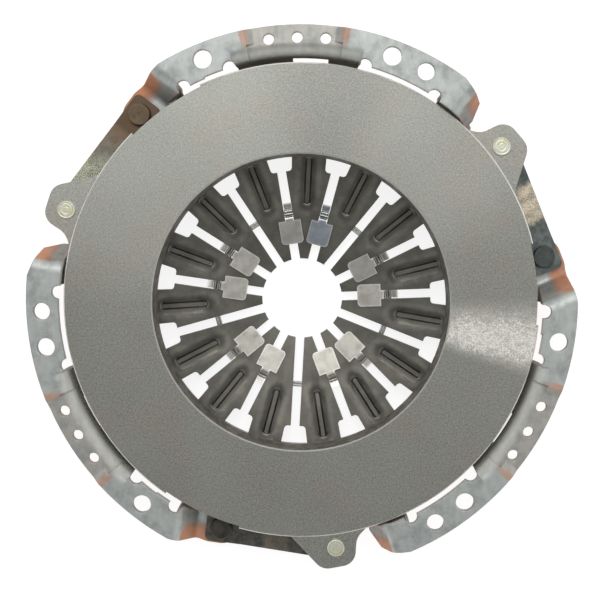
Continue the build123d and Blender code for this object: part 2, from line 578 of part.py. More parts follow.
# ---------------------------------------------------------------- build every piece
save(make_cover(), "cover")
save(make_plate(), "pressure_plate")
save(make_spring(), "diaphragm_spring")
save(wire_ring(FULCRUM_RADIUS, FULCRUM_Z + FULCRUM_LIFT, FULCRUM_WIRE), "front_fulcrum_ring")
save(wire_ring(FULCRUM_RADIUS, FULCRUM_Z - FULCRUM_LIFT, FULCRUM_WIRE), "rear_fulcrum_ring")
spacer = make_spacer()
save(Compound([turned(spacer, SLOT_ANGLE + k * PITCH) for k in range(FINGERS)]), "spacer_rivets")
save(wire_ring(TIE_RING_RADIUS, TIE_WIRE_Z, TIE_WIRE), "inner_tie_ring")
save(wire_ring(OUTER_TIE_RADIUS, TIE_WIRE_Z, TIE_WIRE), "outer_tie_ring")
clip = make_clip()
for number, slot_index in enumerate(CLIP_SLOTS, start=1):
    save(turned(clip, SLOT_ANGLE + slot_index * PITCH), f"finger_clip_{number:02d}")
leaves = [make_leaf(layer) for layer in range(LEAVES)]
strap_rivet, lug_rivet = make_strap_rivet(), make_lug_rivet()
for third in range(THIRDS):
    turn = third * 360 / THIRDS
    for layer, leaf in enumerate(leaves, start=1):
        save(turned(leaf, turn), f"strap_{third + 1}_leaf_{layer}")
    save(turned(strap_rivet, turn), f"strap_rivet_{third + 1}")
    save(turned(lug_rivet, turn), f"lug_rivet_{third + 1}")
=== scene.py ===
# %% [markdown]
# # A clutch cover, finished in Blender
#
# The parts come from CAD, each one a named node that rides on a body. This lesson gives them their
# surfaces: ground cast iron, pressed steel with paint haze at its bends, dark spring steel and bright
# clips. The frame is loaded first, because every piece that is made later is measured from it.

# %% Load the frame
from math import cos, degrees, radians, sin

import bmesh
import bpy
from mathutils import Matrix, Vector


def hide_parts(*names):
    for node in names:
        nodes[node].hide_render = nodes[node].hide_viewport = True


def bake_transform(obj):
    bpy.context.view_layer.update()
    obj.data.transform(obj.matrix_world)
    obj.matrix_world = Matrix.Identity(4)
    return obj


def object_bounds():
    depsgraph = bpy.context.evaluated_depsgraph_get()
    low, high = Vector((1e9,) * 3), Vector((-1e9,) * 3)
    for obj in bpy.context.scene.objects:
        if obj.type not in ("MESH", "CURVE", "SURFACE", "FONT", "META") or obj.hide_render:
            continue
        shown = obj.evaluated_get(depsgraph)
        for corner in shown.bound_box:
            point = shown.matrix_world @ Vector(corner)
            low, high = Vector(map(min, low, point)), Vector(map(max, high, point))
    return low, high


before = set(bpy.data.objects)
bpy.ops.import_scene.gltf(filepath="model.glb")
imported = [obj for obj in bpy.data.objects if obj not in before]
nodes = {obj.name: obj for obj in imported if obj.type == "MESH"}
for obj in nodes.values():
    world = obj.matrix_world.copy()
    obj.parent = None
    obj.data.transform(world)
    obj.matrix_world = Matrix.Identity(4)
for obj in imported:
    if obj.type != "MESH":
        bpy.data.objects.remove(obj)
cad_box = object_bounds()
MM = 0.001

# %% [markdown]
# ## Sizes that the looks need
#
# These repeat the driving sizes of the clutch, in millimetres and degrees, so that a cut or a patch of
# colour can be named by where it lies. The cover repeats every third of a turn.

# %% Sizes of the clutch
THIRDS = 3
FINGERS = 15
SLOT_ANGLE = 3.0
PITCH = 360 / FINGERS
FULCRUM_RADIUS = 85.1
SPRING_RIM_RADIUS = 105.0
TIE_RADIUS = 44.65
PLATE_FACE_Z = -4.0
LUG_RIVET = (123.6, 38.2)
LEDGE_RIVET = (122.2, 10.7)
STRAP_MIDDLE = (LUG_RIVET[1] + LEDGE_RIVET[1]) / 2
THIRD = 360 / THIRDS


def polar(radius, angle, height=0.0):
    """Point in metres from a radius and height in millimetres and an angle in degrees."""
    return Vector((radius * cos(radians(angle)), radius * sin(radians(angle)), height)) * MM


floor_z = cad_box[0].z
print("floor at", round(floor_z / MM, 2), "mm")

# %% [markdown]
# ## Writing shader maths as Python
#
# Node trees are hard to read when each Math node is placed by hand. A small class can stand for one
# socket, so that `1 - mask` or `radius * 2` adds the node by itself. A second class holds the nodes of
# one material or of the room, and has a single method for every other kind of node. A third is one
# finish: it knows where each point of the clutch lies, and has the few recipes that all finishes share.

# %% A wire is one output of a node
class Wire:
    """One output socket. Arithmetic on it adds Math nodes beside the node that owns it."""

    def __init__(self, owner, socket):
        self.owner, self.socket = owner, socket

    def maths(self, operation, *values):
        return self.owner.node("Math", {"operation": operation}, dict(enumerate(values)))

    def __add__(self, other):
        return self.maths("ADD", self, other)

    def __radd__(self, other):
        return self.maths("ADD", other, self)

    def __sub__(self, other):
        return self.maths("SUBTRACT", self, other)

    def __rsub__(self, other):
        return self.maths("SUBTRACT", other, self)

    def __mul__(self, other):
        return self.maths("MULTIPLY", self, other)

    def __rmul__(self, other):
        return self.maths("MULTIPLY", other, self)

    def __pow__(self, other):
        return self.maths("POWER", self, other)

    def __mod__(self, other):
        return self.maths("FLOORED_MODULO", self, other)

    def __abs__(self):
        return self.maths("ABSOLUTE", self)

    def at_most(self, other):
        return self.maths("MINIMUM", self, other)

    def at_least(self, other):
        return self.maths("MAXIMUM", self, other)

    def rise(self, low, high):
        """0 below low, 1 above high and smooth between; a high under low gives a fall instead."""
        return self.owner.node("MapRange", {"interpolation_type": "SMOOTHSTEP"},
                               {"Value": self, "From Min": low, "From Max": high})

    def band(self, low, high, soft):
        """1 between low and high, fading over soft on each side."""
        return self.rise(low - soft, low) * self.rise(high + soft, high)

    def output(self, name):
        """Another output of the same node."""
        return Wire(self.owner, self.socket.node.outputs[name])


print("operators ready")


# %% Every node from one method
class Nodes:
    """The nodes of one material, or of the room."""

    def __init__(self, owner):
        owner.use_nodes = True
        self.tree = owner.node_tree

    def node(self, kind, settings=None, sockets=None, output=0):
        """Adds a node: its settings first, then a value or a wire for each socket, by name or number."""
        made = self.tree.nodes.new("ShaderNode" + kind)
        for key, value in (settings or {}).items():
            setattr(made, key, value)
        for key, value in (sockets or {}).items():
            if isinstance(value, Wire):
                self.tree.links.new(value.socket, made.inputs[key])
            else:
                made.inputs[key].default_value = value
        return Wire(self, made.outputs[output])

    def seen(self):
        """1 for rays from the camera, also by way of metal or glass, and 0 for rays that carry light."""
        ray = self.node("LightPath", output="Is Camera Ray")
        return ray.at_least(ray.output("Is Glossy Ray")).at_least(ray.output("Is Transmission Ray"))


print("one method adds every kind of node")


# %% Colours by their everyday values
def tint(red, green, blue):
    """Scene-linear colour from the 0 to 255 values that a colour picker shows."""
    return tuple(((c / 255 + 0.055) / 1.055) ** 2.4 if c > 10 else c / 255 / 12.92
                 for c in (red, green, blue)) + (1.0,)


print("white is", [round(c, 2) for c in tint(255, 255, 255)])

# %% A finish is one material
BEVEL_SAMPLES = 4
# cosines of how far a rounded normal turns away from a flat one, where a rim starts and where it is full
SAME_NORMAL, TURNED_NORMAL = 0.995, 0.93


class Finish(Nodes):
    """One material with a Principled shader, and the places and noises its masks are made of."""

    def __init__(self, name, constants):
        self.material = bpy.data.materials.new(name)
        super().__init__(self.material)
        self.shader = self.tree.nodes["Principled BSDF"]
        for socket, value in constants.items():
            self.shader.inputs[socket].default_value = value
        self.point = self.node("TexCoord", output="Object")
        place = self.node("SeparateXYZ", sockets={0: self.point}, output="X")
        self.x, self.y, self.z = [place.output(axis) * (1 / MM) for axis in "XYZ"]
        self.radius = (self.x * self.x + self.y * self.y) ** 0.5
        self.angle = self.node("Math", {"operation": "ARCTAN2"}, {0: self.y, 1: self.x}) * degrees(1)

    def noise(self, size, detail=2.0, roughness=0.5, stretch=None):
        """Noise from 0 to 1 whose lumps are about size millimetres across."""
        point = self.point
        if stretch:
            point = self.node("VectorMath", {"operation": "MULTIPLY"}, {0: point, 1: stretch})
        return self.node("TexNoise", sockets={"Vector": point, "Scale": 1 / (size * MM),
                                              "Detail": detail, "Roughness": roughness})

    def mix(self, below, above, mask):
        """Colour that goes from below to above as mask goes from 0 to 1."""
        return self.node("Mix", {"data_type": "RGBA"}, {0: mask, 6: below, 7: above}, output=2)

    def shade(self, colour, amount):
        """Colour multiplied by a grey amount that may vary around 1."""
        return self.node("VectorMath", {"operation": "SCALE"}, {0: colour, "Scale": amount})

    def bump(self, height, depth, edge=0.0):
        """Normal from a height of 0 to 1 that is depth millimetres tall, over edges rounded by edge."""
        sockets = {"Height": height, "Distance": depth * MM, "Strength": 1.0}
        if edge:
            sockets["Normal"] = self.node("Bevel", {"samples": BEVEL_SAMPLES}, {"Radius": edge * MM})
        return self.node("Bump", sockets=sockets)

    def rims(self, width):
        """1 on the last width millimetres beside a sharp edge, from how far a rounded normal turns."""
        flat = self.node("NewGeometry", output="Normal")
        rounded = self.node("Bevel", {"samples": BEVEL_SAMPLES}, {"Radius": width * MM})
        same = self.node("VectorMath", {"operation": "DOT_PRODUCT"}, {0: flat, 1: rounded},
                         output="Value")
        return same.rise(SAME_NORMAL, TURNED_NORMAL)

    def put(self, **wires):
        """Links wires to the shader, such as Base_Color=wire."""
        for name, wire in wires.items():
            self.tree.links.new(wire.socket, self.shader.inputs[name.replace("_", " ")])
        return self


print("a finish knows the radius, angle and height of each point")

# %% [markdown]
# ## Where things lie on the cover
#
# The masks of the cover need three facts about a point: which way its surface faces, how far round its
# third of the cover it is, and how far out it is. The angle is folded into one third, so that one set of
# masks serves all three flanges.

# %% Folding the angle and reading the surface direction
THIRD_START = 44.0


def station(finish):
    """Angle within one third, from the lug end of a flange at 50 to the strap ledge at 137."""
    return (finish.angle - THIRD_START) % THIRD + THIRD_START


def from_rivet(finish, rivet):
    """Millimetres from the axis of the nearest of three rivets, at a radius and first angle."""
    radius, angle = rivet
    turn = ((finish.angle - angle + THIRD / 2) % THIRD - THIRD / 2) * (1 / degrees(1))
    sideways = finish.radius * finish.node("Math", {"operation": "SINE"}, {0: turn})
    outward = finish.radius * finish.node("Math", {"operation": "COSINE"}, {0: turn}) - radius
    return (sideways * sideways + outward * outward) ** 0.5


def facings(finish):
    """How far the surface faces up the axis and out from it, each from -1 to 1."""
    normal = finish.node("NewGeometry", output="True Normal")
    parts = finish.node("SeparateXYZ", sockets={0: normal}, output="X")
    along_x, along_y, up = [parts.output(axis) for axis in "XYZ"]
    radius = finish.radius.at_least(1.0)
    outward = (along_x * finish.x + along_y * finish.y) * (radius ** -1.0)
    return up, outward


print("one third runs from", THIRD_START, "to", THIRD_START + THIRD)

# %% [markdown]
# ## Ground cast iron
#
# The friction face is ground flat, so it has a fine even grain with faint warm patches from handling.
# The bright streak with sparks in it is a painted highlight, and so are the lighter far shoulders and
# the bright edge of the face.
# The sides and the bore stay as they were cast: rougher, darker and browner. One material can hold all
# of this, with a mask that is 1 on surfaces that face up.

# %% Masks on the pressure plate
STREAK_START, STREAK_END = -20.0, 5.0
STREAK_PEAK = (-12.0, -9.5)
STREAK_REACH = (56.0, 86.0)


def streak(iron, face):
    """Painted highlight on the face, strongest at one angle and towards the rim."""
    across = iron.angle.rise(STREAK_START, STREAK_PEAK[0]) * iron.angle.rise(STREAK_END, STREAK_PEAK[1])
    highlight_breakup = 1 - iron.noise(9.0).rise(0.35, 0.7) * 0.15
    return across ** 1.8 * face * iron.radius.rise(*STREAK_REACH) * highlight_breakup


def arris_highlight(iron, up):
    """Painted highlight along the edge of the face: bright in places round the rim, and faint round the
    bore.
    """
    edge = up.band(0.45, 0.9, 0.04) * iron.z.rise(PLATE_FACE_Z - 0.9, PLATE_FACE_Z - 0.5)
    highlight_breakup = 0.25 + iron.noise(30.0).rise(0.4, 0.55) * 0.45
    return edge * (0.3 + iron.radius.rise(90.0, 100.0) * highlight_breakup)


print("streak from", STREAK_START, "to", STREAK_END, "degrees")


# %% Finish of the pressure plate
def iron_finish():
    iron = Finish("ground_cast_iron", {})
    up, _ = facings(iron)
    ground = up.rise(0.6, 0.9)
    edge = arris_highlight(iron, up)
    glint = streak(iron, ground * iron.z.rise(PLATE_FACE_Z - 0.3, PLATE_FACE_Z - 0.1))
    grain = iron.noise(0.8, detail=3.0, roughness=0.7)
    fine = iron.noise(0.42, detail=1.0)
    patches = iron.noise(38.0, detail=2.0)
    warm = iron.noise(24.0, detail=3.0).rise(0.44, 0.68)
    # painted sheen: the two far shoulders of the face are lightened in colour
    left, right = iron.angle.band(108.0, 158.0, 26.0), iron.angle.band(34.0, 60.0, 22.0)
    shoulder_sheen = left.at_least(right * 0.8) * ground
    sparkle = iron.noise(0.7, detail=2.0, roughness=0.9).rise(0.42, 0.6) * iron.noise(2.6).rise(0.2, 0.6)
    grey = iron.mix(tint(158, 159, 152), tint(160, 157, 149), warm)
    grey = iron.shade(grey, grain * 1.4 + fine * 0.62 + (patches - 0.5) * 0.2 + shoulder_sheen * 0.24)
    # painted highlight: the streak and its sparks are mixed towards white
    grey = iron.mix(grey, tint(255, 252, 242), (glint * (0.62 + sparkle * 1.1)).at_most(1.0))
    as_cast = iron.noise(4.0, detail=4.0).rise(0.4, 0.65)
    rough = iron.mix(tint(142, 138, 129), tint(118, 112, 103), as_cast)
    colour = iron.mix(iron.shade(rough, 0.8 + grain * 0.4), grey, ground)
    # painted highlight along the edge of the face, mixed towards white
    colour = iron.mix(colour, tint(250, 249, 244), edge)
    roughness = 0.6 - ground * 0.16 + (grain - 0.5) * 0.16 - glint * 0.1
    # the painted sparks and the painted edge highlight are made less metallic, so they scatter more
    # light than a mirror of the room would give
    metallic = (0.55 + ground * 0.45) * (1 - edge) * (1 - (glint * sparkle * 1.3).at_most(0.9))
    relief = grain * (0.35 + 0.65 * ground) + iron.noise(1.6, detail=4.0) * (1 - ground) * 3
    return iron.put(Base_Color=colour, Roughness=roughness, Metallic=metallic,
                    Normal=iron.bump(relief, 0.05, edge=0.12))


iron = iron_finish()
print(iron.material.name, len(iron.tree.nodes), "nodes")

# %% [markdown]
# ## Pressed steel with paint haze
#
# The cover is painted on the gearbox side only. The spray drifts round the edges, so orange shows on
# the cut edges of the windows, on the walls at the ends of each flange and along the rim of each strap
# ledge, and it thins out over the bare steel. The bare side is a mottled blue-grey, rubbed a little
# lighter on the flats.

# %% Where the haze lies, as angles within one third
LUG_END = (44.0, 50.0)
STEPS = ((79.9, 81.0), (101.5, 102.6))
MIDDLE_PAD = (81.5, 101.0)
LEDGE_WALL = (123.2, 131.0)
LEDGE_RIM = (125.5, 137.5)
print("middle pad spans", MIDDLE_PAD[1] - MIDDLE_PAD[0], "degrees")


# %% Masks of the paint haze on the cover
def paint_mask(steel, at, up, outward):
    """Full coat on what faces back or outward, drifts of spray on the flywheel side, and where the drift
    is thick and lit.
    """
    # heights are negative millimetres below the flanges, so a rise from -1.2 to -3.4 starts under them
    behind = up.rise(-0.05, -0.35)
    wall = outward.rise(0.3, 0.7) * steel.z.rise(-4.6, -6.0)
    sideways = (1 - abs(up).rise(0.25, 0.6)) * (1 - abs(outward).rise(0.25, 0.6))
    sideways = sideways * steel.z.rise(-1.2, -3.4)
    coat = behind.at_least(wall)
    ragged = (steel.noise(5.0, detail=4.0) - 0.5) * 3.2
    outer = steel.radius + ragged
    ledge_wall = at.band(*LEDGE_WALL, 1.2) * outer.rise(122.2, 127.2) * steel.z.rise(-1.2, -3.2)
    ledge_rim = at.band(*LEDGE_RIM, 1.5) * outer.rise(124.6, 127.6) * steel.z.rise(-9.0, -12.0) * 0.9
    lug_end = at.band(*LUG_END, 0.9) * outer.rise(119.5, 126.5) * steel.z.rise(-0.8, -2.6)
    steps = at.band(*STEPS[0], 0.5).at_least(at.band(*STEPS[1], 0.5)) * outer.rise(122.5, 131.5)
    drift = ledge_wall.at_least(ledge_rim).at_least(lug_end)
    drift = drift.at_least(steps * 0.65).at_least(sideways * 0.9)
    # the spray is thick at the outer edges; the dark brown in the folds beside the plate is partly a
    # thin film and partly painted shade
    thick_and_lit = outer.rise(121.5, 128.5).at_least(outer.rise(120.0, 118.5))
    return coat, drift, thick_and_lit


print("haze has a coat, a drift and a depth")


# %% Finish of the cover
def cover_finish():
    steel = Finish("pressed_steel", {})
    at, (up, outward) = station(steel), facings(steel)
    coat, drift, thick_and_lit = paint_mask(steel, at, up, outward)
    mottle = steel.noise(9.0, detail=5.0, roughness=0.62)
    smear = steel.noise(3.0, detail=3.0, stretch=(1.0, 0.45, 1.0))
    bare = steel.mix(tint(194, 198, 195), tint(188, 186, 179), at.band(*MIDDLE_PAD, 0.8))
    bare = steel.mix(bare, tint(150, 155, 154), mottle.rise(0.42, 0.72) * 0.7)
    # the drawn wall inside is dull, and its grey is painted lighter to stand in for light on this shaded
    # wall, so it scatters light where the flats mirror it
    lightened_inside = outward.rise(-0.2, -0.7)
    bare = steel.mix(bare, tint(204, 205, 198), lightened_inside)
    bare = steel.shade(bare, 0.8 + smear * 0.4)
    rub = steel.noise(1.4, detail=4.0, roughness=0.75).rise(0.6, 0.74)
    bare = steel.mix(bare, tint(204, 208, 206), rub * up.rise(0.8, 0.98) * 0.4)
    depth = thick_and_lit * (0.55 + steel.noise(4.0, detail=3.0) * 0.7)
    # painted shade: the drift goes dark brown towards the folds beside the plate, partly as a thin film
    # and partly as shade
    thin_paint_and_shade = steel.mix(tint(84, 60, 40), tint(216, 132, 72), depth)
    paint = steel.mix(tint(214, 122, 74), tint(186, 92, 50), steel.noise(12.0, detail=3.0))
    colour = steel.mix(bare, thin_paint_and_shade, drift * (0.5 + smear * 0.5))
    colour = steel.mix(colour, paint, coat)
    covered = coat.at_least(drift * 0.75)
    roughness = 0.47 + mottle * 0.14 + covered * 0.02 + lightened_inside * 0.15
    relief = mottle * 0.6 + smear * 0.4
    metallic = (1 - covered) * (1 - lightened_inside * 0.85)
    return steel.put(Base_Color=colour, Roughness=roughness, Metallic=metallic,
                     Normal=steel.bump(relief, 0.05, edge=0.8))


cover_steel = cover_finish()
print(cover_steel.material.name, len(cover_steel.tree.nodes), "nodes")


# %% [markdown]
# ## Clips, wires and dark rivets
#
# The clips are bright strip with a highlight painted along their edges. The three clips at the top are
# painted darker as shade: two are a duller grey, and one is blued as well. The wires are bright and
# drawn.
# The rivet heads on the straps are dull and dark. All of these differ mostly in colour and roughness, so
# one function makes them all.

# %% One recipe for the plain metals
def metal_finish(name, light, dark, lump, roughness, relief=0.02, edge=0.2, edge_highlight=0.0):
    """Metal that wanders between two colours over lumps of a size, and if asked, a highlight painted
    along its edges.
    """
    metal = Finish(name, {"Metallic": 1.0})
    wander = metal.noise(lump, detail=4.0, roughness=0.6)
    fine = metal.noise(0.6, detail=2.0)
    colour = metal.shade(metal.mix(dark, light, wander.rise(0.3, 0.7)), 0.86 + fine * 0.28)
    # painted highlight: a rim beside each sharp edge is mixed towards white
    if edge_highlight:
        colour = metal.mix(colour, tint(255, 254, 249), metal.rims(1.3) * edge_highlight)
    return metal.put(Base_Color=colour, Roughness=roughness + (wander - 0.5) * 0.18,
                     Normal=metal.bump(fine * 0.5 + wander * 0.5, relief, edge=edge))


# millimetres over which the colour of strip, wire and rivets wanders
LUMP = 5.0
wire = metal_finish("bright_wire", tint(206, 208, 204), tint(160, 160, 154), LUMP, 0.3, edge=0.0)
shoulder_rivet = metal_finish("dull_rivet_steel", tint(96, 90, 82), tint(66, 62, 58), 6.0, 0.5)
clip_steel = metal_finish("strip_steel", tint(222, 219, 209), tint(200, 197, 187), LUMP, 0.3,
                          edge=0.0, edge_highlight=1.0)
# painted shade: darker copies of the strip for the clips at the top
shaded_clip = metal_finish("shaded_strip_steel", tint(194, 193, 187), tint(176, 175, 169), LUMP, 0.34,
                         edge=0.0, edge_highlight=0.5)
blued_shaded_clip = metal_finish("blued_shaded_strip_steel", tint(172, 178, 186), tint(154, 160, 168), LUMP, 0.36,
                          edge=0.0, edge_highlight=0.5)
plain = (wire, shoulder_rivet, clip_steel, shaded_clip, blued_shaded_clip)
print("plain metals", [finish.material.name for finish in plain])


# %% [markdown]
# ## Diaphragm spring
#
# The spring is oil-tempered, so it is almost black with a soft warm sheen, and its edges are rubbed a
# shade lighter. The valley round each bead is painted darker as shade, and the shoulders beyond it carry
# a painted sheen. The beads are in the mesh, but this painted shade and sheen lie in the colour, so the
# finish measures how far each point is from the line of the nearest bead.

# %% The beads of the diaphragm spring
BEAD_SPAN = (49.0, 71.0)
BEAD_EDGE = 1.9
VALLEY_EDGE = 5.4


def distance_from_bead(spring):
    """Millimetres from the middle line of the nearest bead."""
    turn = ((spring.angle - SLOT_ANGLE) % PITCH - PITCH / 2) * (1 / degrees(1))
    across = spring.radius * spring.node("Math", {"operation": "SINE"}, {0: turn})
    beyond = (BEAD_SPAN[0] - spring.radius).at_least(spring.radius - BEAD_SPAN[1]).at_least(0.0)
    return (across * across + beyond * beyond) ** 0.5


print("beads", FINGERS, "each", BEAD_SPAN[1] - BEAD_SPAN[0], "mm long")


# %% Tempered steel of the diaphragm spring
def spring_finish():
    """Dark steel with painted shade in the valleys beside each bead and a painted sheen on their
    shoulders.
    """
    spring = Finish("tempered_spring_steel", {"Metallic": 1.0})
    wander = spring.noise(11.0, detail=4.0, roughness=0.6)
    fine = spring.noise(0.6, detail=2.0)
    from_bead = distance_from_bead(spring)
    # painted shade: the valley beside each bead is darkened in colour
    valley_shade = from_bead.rise(VALLEY_EDGE, BEAD_EDGE) * from_bead.rise(BEAD_EDGE - 0.8, BEAD_EDGE)
    # painted sheen: the shoulders beyond each valley are lightened in colour, in patches
    shoulder = from_bead.band(VALLEY_EDGE - 0.4, VALLEY_EDGE + 0.4, 2.0)
    shoulder = shoulder * spring.noise(7.0).rise(0.3, 0.6)
    colour = spring.mix(tint(102, 100, 94), tint(120, 118, 110), wander.rise(0.3, 0.7))
    colour = spring.shade(colour, 0.86 + fine * 0.28 - valley_shade * 0.38 + shoulder * 0.3)
    colour = spring.mix(colour, tint(176, 174, 164), spring.rims(0.4) * 0.3)
    return spring.put(Base_Color=colour, Roughness=0.42 + (wander - 0.5) * 0.16 + valley_shade * 0.06,
                      Normal=spring.bump(fine * 0.5 + wander * 0.5, 0.02, edge=0.2))


spring_steel = spring_finish()
print(spring_steel.material.name, len(spring_steel.tree.nodes), "nodes")

# %% [markdown]
# ## Strap leaves
#
# Each pack was heat treated in its own batch. One has a straw-coloured patch in the middle that
# glitters, one has a long grey-green patch near its lug and a brown film near its ledge, and one is
# plain dark. The patch is placed along the strap, so its mask needs the distance from the strap's
# middle, measured in the direction of the strap.

# %% Distance along a strap
def along_strap(finish, third):
    """Millimetres from the middle of the strap, positive towards its ledge."""
    turn = radians(STRAP_MIDDLE + third * THIRD)
    return finish.x * sin(turn) - finish.y * cos(turn)


print("strap middles at", [round(STRAP_MIDDLE + third * THIRD, 1) for third in range(THIRDS)], "degrees")


# %% Finish of each pack of leaves
def strap_finish(third, light, dark, patch, patch_span, soft=2.0, film=None):
    """A mottled leaf with a patch along part of its length, and for one a brown film near the ledge."""
    leaf = Finish(f"strap_steel_{third + 1}", {"Metallic": 1.0})
    along = along_strap(leaf, third) + (leaf.noise(3.0, detail=3.0) - 0.5) * 5
    mottle = leaf.noise(4.0, detail=5.0, roughness=0.7)
    glitter = leaf.noise(0.6, detail=3.0, roughness=0.9).rise(0.4, 0.62)
    blotch = leaf.noise(4.5, detail=2.0).rise(0.3, 0.65)
    in_patch = along.band(*patch_span, soft)
    colour = leaf.mix(dark, light, mottle.rise(0.35, 0.65))
    colour = leaf.mix(colour, patch, in_patch * (0.15 + blotch * 0.35 + glitter * 0.5))
    if film:
        colour = leaf.mix(colour, film, along.rise(2.0, 20.0) * 0.8)
    return leaf.put(Base_Color=colour, Roughness=0.46 - in_patch * 0.12 + (mottle - 0.5) * 0.2,
                    Normal=leaf.bump(mottle * (1 - in_patch) + glitter * in_patch, 0.05, edge=0.15))


strap_steels = [
    strap_finish(0, tint(126, 133, 129), tint(96, 104, 102),
                 patch=tint(255, 238, 208), patch_span=(-6.0, 10.0), soft=3.5),
    strap_finish(1, tint(122, 118, 108), tint(96, 90, 82),
                 patch=tint(178, 182, 160), patch_span=(-32.0, -8.0), soft=14.0, film=tint(104, 84, 66)),
    strap_finish(2, tint(110, 108, 102), tint(80, 80, 76),
                 patch=tint(126, 118, 104), patch_span=(-4.0, 6.0)),
]
ledge_rivets = [metal_finish("ledge_rivet_steel_1", tint(98, 103, 100), tint(74, 78, 76), LUMP, 0.5),
                metal_finish("ledge_rivet_steel_2", tint(120, 104, 86), tint(88, 78, 66), LUMP, 0.5),
                metal_finish("ledge_rivet_steel_3", tint(92, 88, 82), tint(66, 64, 60), LUMP, 0.5)]
print("strap finishes", [finish.material.name for finish in strap_steels])


# %% [markdown]
# ## Zinc plated rivets
#
# The rivets on the lugs are zinc plated, which gives them a pale yellow cast. Their heads are spun over,
# and the tool leaves fine rings. Rings that are half a tenth of a millimetre deep don't need a mesh, so
# they are a bump, placed by the distance from the axis of the rivet.

# %% Zinc plate on the lug rivets
def zinc_finish():
    zinc = Finish("yellow_zinc", {"Metallic": 1.0})
    blush = zinc.noise(2.2, detail=3.0).rise(0.4, 0.62)
    colour = zinc.mix(tint(230, 232, 218), tint(224, 222, 190), blush)
    scuff = zinc.noise(0.7, detail=3.0)
    # the head is set by a spinning tool, which leaves a rim and two rings
    reach = from_rivet(zinc, LUG_RIVET)
    rings = reach.band(1.5, 1.8, 0.3) + reach.band(3.2, 3.5, 0.3) + reach.rise(4.0, 3.6) * 0.6
    # painted shade: the outer groove is also darkened in colour
    colour = zinc.shade(colour, 0.88 + scuff * 0.24 - reach.band(3.3, 3.4, 0.25) * 0.2)
    return zinc.put(Base_Color=colour, Roughness=0.34 + scuff * 0.14,
                    Normal=zinc.bump(rings * -1 + scuff * 0.2, 0.04, edge=0.25))


zinc = zinc_finish()
print(zinc.material.name, len(zinc.tree.nodes), "nodes")

# %% [markdown]
# ## Dressing the rigid parts
#
# A rigid part keeps its CAD mesh, so it only swaps its material. The names say what each part is, so
# how a name begins is enough to find the right finish.

# %% Materials on the rigid nodes
def dress(piece, finish):
    piece.data.materials.clear()
    piece.data.materials.append(finish.material)


rigid = {"cover": cover_steel, "pressure_plate": iron, "front_fulcrum": wire, "rear_fulcrum": wire,
         "inner_tie": wire, "outer_tie": wire, "spacer_rivets": shoulder_rivet,
         "finger_clip": clip_steel, "lug_rivet": zinc}
for name, node in nodes.items():
    for beginning, finish in rigid.items():
        if name.startswith(beginning):
            dress(node, finish)
# the three clips at the top are painted darker as shade, and one of them is blued as well
for number, finish in {2: shaded_clip, 3: blued_shaded_clip, 4: shaded_clip}.items():
    dress(nodes[f"finger_clip_{number:02d}"], finish)
for third, finish in enumerate(ledge_rivets, start=1):
    dress(nodes[f"strap_rivet_{third}"], finish)
print("dressed", sum(n.startswith("finger_clip") for n in nodes), "clips")

# %% [markdown]
# ## Pieces that bend
#
# Two things bend when the clutch is released: the straps between cover and plate, and the spring, which
# rocks on its wire rings. So each strap leaf becomes one piece, and the spring is cut into a slice for
# each finger. A slice is cut again at the fulcrum, into an inner half that reaches the tie rings and an
# outer half that reaches the rim. The cuts lie under the wire ring and in the middle of each slot, where
# nothing shows.

# %% Copying and cutting a node's mesh
# millimetres within which vertices are joined, or count as on a cutting plane
WELD = 0.002
ON_PLANE = 0.001


def mesh_of(node):
    """Editable copy of a CAD node's mesh, with the split vertices along its edges joined again."""
    mesh = bmesh.new()
    mesh.from_mesh(nodes[node].data)
    bmesh.ops.remove_doubles(mesh, verts=mesh.verts, dist=WELD * MM)
    return mesh


def slice_off(mesh, point, outward):
    """Removes what lies on the outward side of a plane and closes the cut."""
    everything = mesh.verts[:] + mesh.edges[:] + mesh.faces[:]
    bmesh.ops.bisect_plane(mesh, geom=everything, dist=ON_PLANE * MM, plane_co=point, plane_no=outward,
                           clear_outer=True)
    bmesh.ops.holes_fill(mesh, edges=[edge for edge in mesh.edges if edge.is_boundary])


def add_rows(mesh, start, end, rows):
    """Cuts the faces across the line from start to end, so that the piece can bend."""
    for row in range(1, rows):
        everything = mesh.verts[:] + mesh.edges[:] + mesh.faces[:]
        bmesh.ops.bisect_plane(mesh, geom=everything, dist=ON_PLANE * MM,
                               plane_co=start.lerp(end, row / rows), plane_no=end - start)


print("cuts within", ON_PLANE, "mm")

# %% A smooth piece from an edited mesh
SHARP_FROM = 8


def new_piece(mesh, name, finish):
    """Smooth-shaded object from an edited mesh, with sharp edges kept."""
    data = bpy.data.meshes.new(name)
    mesh.to_mesh(data)
    mesh.free()
    data.shade_smooth()
    data.set_sharp_from_angle(angle=radians(SHARP_FROM))
    piece = bpy.data.objects.new(name, data)
    bpy.context.scene.collection.objects.link(piece)
    dress(piece, finish)
    return piece


print("edges over", SHARP_FROM, "degrees stay sharp")


# %% Strap leaves between cover and plate
LEAVES = 3
FLAT_END = 9.0
LEAF_ROWS = 8
for third in range(THIRDS):
    turn = third * THIRD
    ledge = polar(LEDGE_RIVET[0], LEDGE_RIVET[1] + turn)
    lug = polar(LUG_RIVET[0], LUG_RIVET[1] + turn)
    direction = (lug - ledge).normalized()
    start, end = ledge + direction * FLAT_END * MM, lug - direction * FLAT_END * MM
    for layer in range(1, LEAVES + 1):
        node = f"strap_{third + 1}_leaf_{layer}"
        leaf = mesh_of(node)
        add_rows(leaf, start, end, LEAF_ROWS)
        piece = new_piece(leaf, node + "_sprung", strap_steels[third])
        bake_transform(piece)
        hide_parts(node)
print("leaves", THIRDS * LEAVES, "strap length", round((lug - ledge).length / MM, 1), "mm")


# %% Slice of the spring for one finger
CENTRE = Vector((0, 0, 0))
QUARTER_TURN = 90


